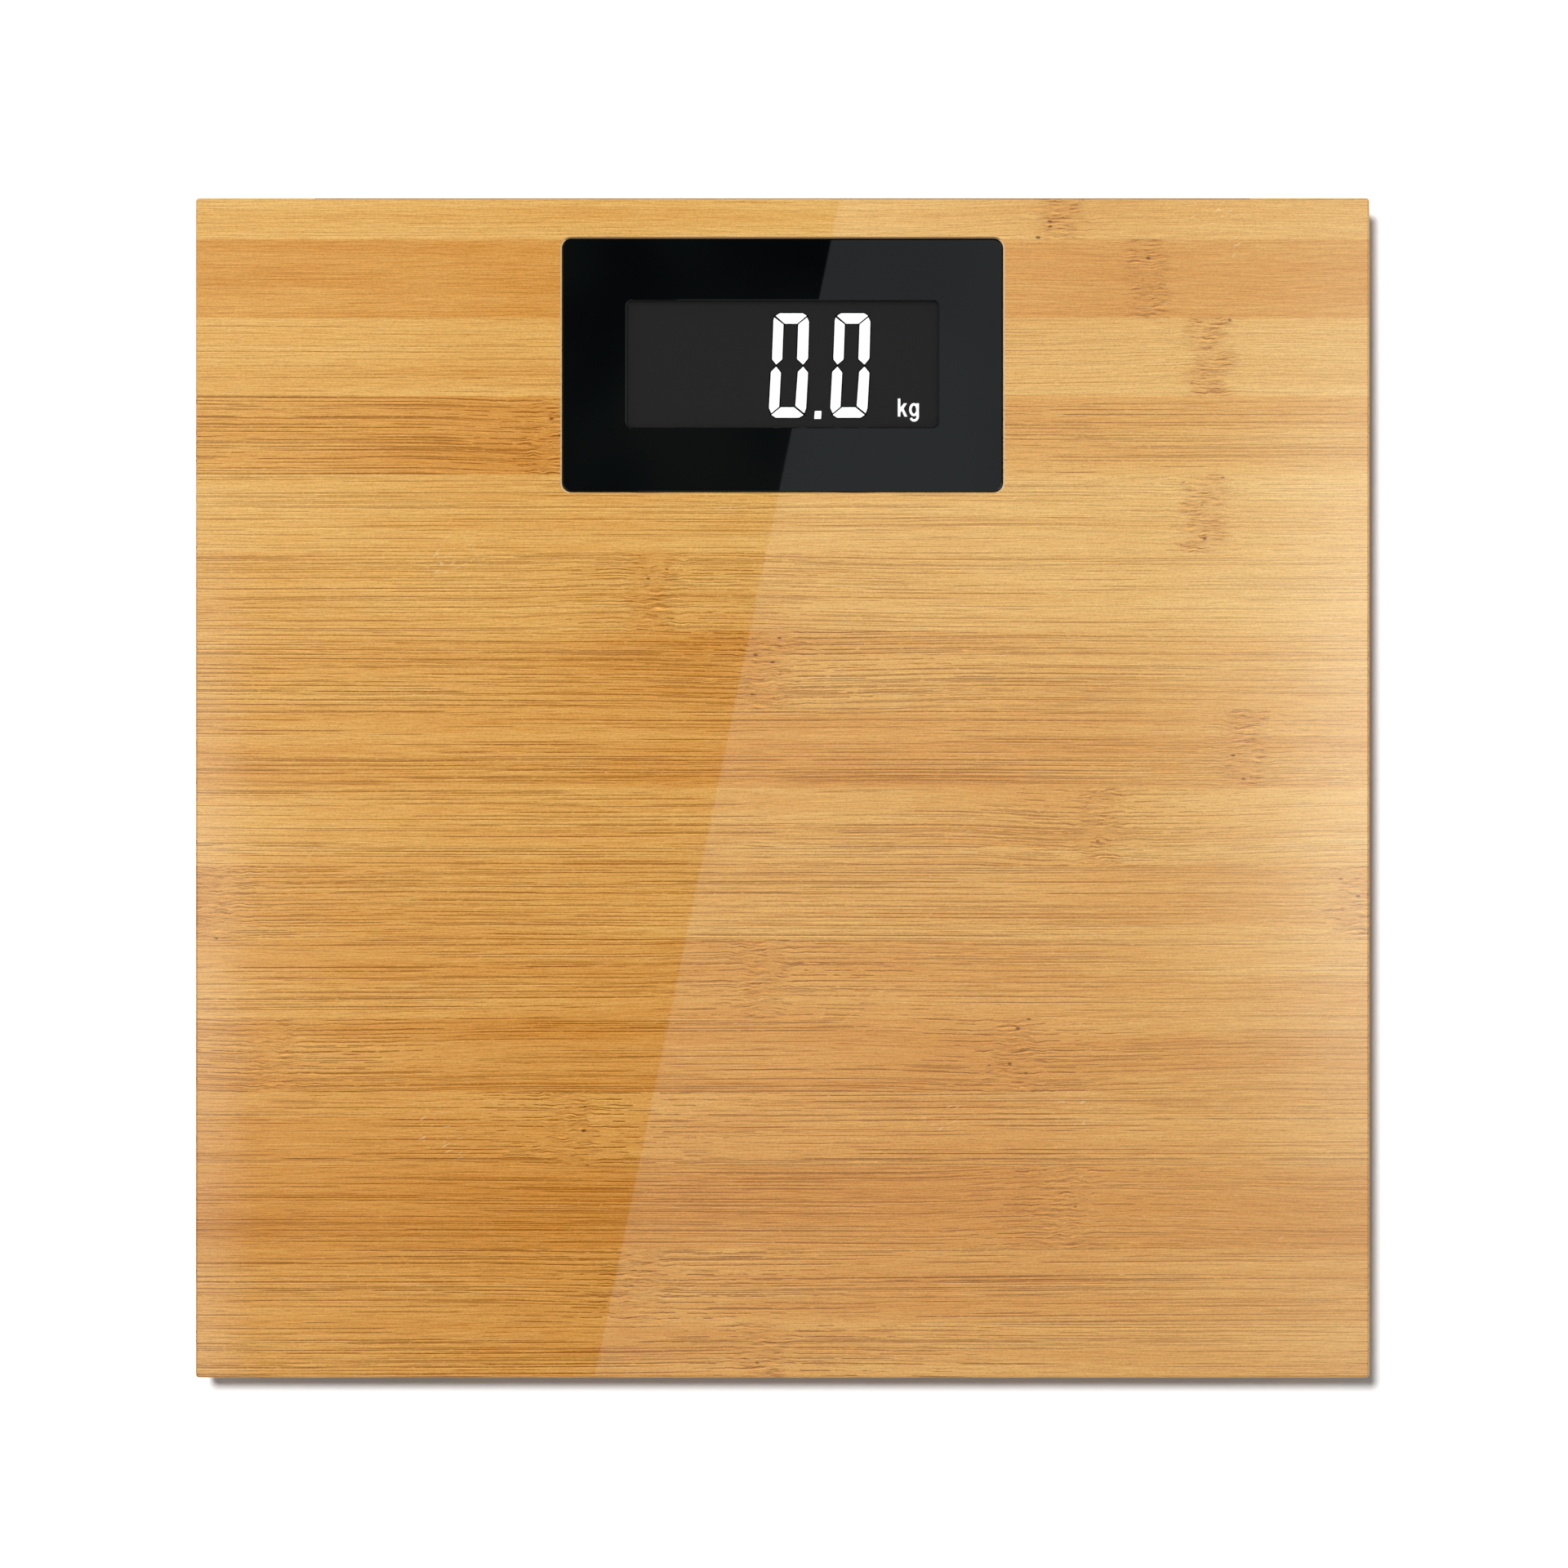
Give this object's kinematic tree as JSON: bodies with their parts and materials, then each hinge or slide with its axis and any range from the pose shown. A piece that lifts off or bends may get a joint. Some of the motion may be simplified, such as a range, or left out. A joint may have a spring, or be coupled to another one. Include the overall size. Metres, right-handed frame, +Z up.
{
  "type": "digital bathroom scale",
  "caption": "Square bamboo bathroom scale with an inset digital display, load-cell feet, a unit button and a hinged battery door underneath.",
  "frame": {"origin": "centre of the board's footprint, on the floor", "axes": "+Z up, +Y towards the edge with the display, +X to the right of a person who reads it"},
  "size_m": [0.3, 0.3014, 0.025],
  "materials": {
    "bamboo": "laminated bamboo strips under a satin-gloss lacquer",
    "bezel_black": "black, high gloss",
    "foam": "thin adhesive foam",
    "housing_black": "fine moulded texture",
    "lcd": "dark, anti-glare front polariser",
    "light_guide": "white diffuser",
    "elastomer": "striped silicone",
    "circuit_green": "solder mask",
    "epoxy_black": "cast epoxy and moulded cases",
    "connector_white": "moulded nylon",
    "button_grey": "fine texture",
    "battery_shell": "plain printed sleeve",
    "contact_plating": "nickel-plated spring steel",
    "wire_jacket": "thin jacket",
    "screw_steel": "zinc-plated",
    "cell_steel": "stamped, nickel-plated",
    "gauge_white": "white silicone potting",
    "foot_black": "moulded",
    "pad_rubber": "matt, slightly dusty",
    "cover_black": "thin extruded strip"
  },
  "bodies": {
    "root": {"backlight": "light_guide", "battery_front": "battery_shell", "battery_rear": "battery_shell", "battery_wire_negative": "wire_jacket", "battery_wire_positive": "wire_jacket", "bezel": "bezel_black", "bezel_gasket": "foam", "board_components": "epoxy_black", "board_screws": "screw_steel", "cable_cover_front_left": "cover_black", "cable_cover_front_right": "cover_black", "cable_cover_rear_left": "cover_black", "cable_cover_rear_right": "cover_black", "chip_blob": "epoxy_black", "contact_bridge": "contact_plating", "contact_negative": "contact_plating", "contact_positive": "contact_plating", "cover_screws": "screw_steel", "foot_housing_front_left": "housing_black", "foot_housing_front_right": "housing_black", "foot_housing_rear_left": "housing_black", "foot_housing_rear_right": "housing_black", "foot_housing_screws": "screw_steel", "housing_screws": "screw_steel", "lcd_glass": "lcd", "load_cell_front_left": "cell_steel", "load_cell_front_right": "cell_steel", "load_cell_rear_left": "cell_steel", "load_cell_rear_right": "cell_steel", "lower_housing": "housing_black", "main_board": "circuit_green", "platform": "bamboo", "sensor_cable_front_left": "wire_jacket", "sensor_cable_front_right": "wire_jacket", "sensor_cable_rear_left": "wire_jacket", "sensor_cable_rear_right": "wire_jacket", "sensor_connectors": "connector_white", "strain_gauge_front_left": "gauge_white", "strain_gauge_front_right": "gauge_white", "strain_gauge_rear_left": "gauge_white", "strain_gauge_rear_right": "gauge_white", "tact_switch": "epoxy_black", "upper_housing": "housing_black", "zebra_strip": "elastomer"},
    "foot_front_left": {"foot_cup_front_left": "foot_black", "foot_pad_front_left": "pad_rubber", "foot_screw_front_left": "screw_steel"},
    "foot_front_right": {"foot_cup_front_right": "foot_black", "foot_pad_front_right": "pad_rubber", "foot_screw_front_right": "screw_steel"},
    "foot_rear_left": {"foot_cup_rear_left": "foot_black", "foot_pad_rear_left": "pad_rubber", "foot_screw_rear_left": "screw_steel"},
    "foot_rear_right": {"foot_cup_rear_right": "foot_black", "foot_pad_rear_right": "pad_rubber", "foot_screw_rear_right": "screw_steel"},
    "unit_button": {"unit_button": "button_grey", "switch_plunger": "button_grey"},
    "battery_door": {"battery_door": "housing_black"}
  },
  "joints": [
    {"name": "foot_front_left_press", "type": "slide", "parent": "root", "child": "foot_front_left", "axis": [0, 0, 1], "range_m": [0, 0.0005], "stiffness_N_per_m": 2000, "springref_m": -0.002, "deforming": ["load_cell_front_left"]},
    {"name": "foot_front_right_press", "type": "slide", "parent": "root", "child": "foot_front_right", "axis": [0, 0, 1], "range_m": [0, 0.0005], "stiffness_N_per_m": 2000, "springref_m": -0.002, "deforming": ["load_cell_front_right"]},
    {"name": "foot_rear_left_press", "type": "slide", "parent": "root", "child": "foot_rear_left", "axis": [0, 0, 1], "range_m": [0, 0.0005], "stiffness_N_per_m": 2000, "springref_m": -0.002, "deforming": ["load_cell_rear_left"]},
    {"name": "foot_rear_right_press", "type": "slide", "parent": "root", "child": "foot_rear_right", "axis": [0, 0, 1], "range_m": [0, 0.0005], "stiffness_N_per_m": 2000, "springref_m": -0.002, "deforming": ["load_cell_rear_right"]},
    {"name": "unit_button_press", "type": "slide", "parent": "root", "child": "unit_button", "axis": [0, 0, 1], "range_m": [0, 0.0003], "stiffness_N_per_m": 300, "springref_m": -0.003},
    {"name": "battery_door_swing", "type": "hinge", "parent": "root", "child": "battery_door", "pos_m": [0, 0.0749, 0.0073], "axis": [1, 0, 0], "range_deg": [0, 90]}
  ]
}
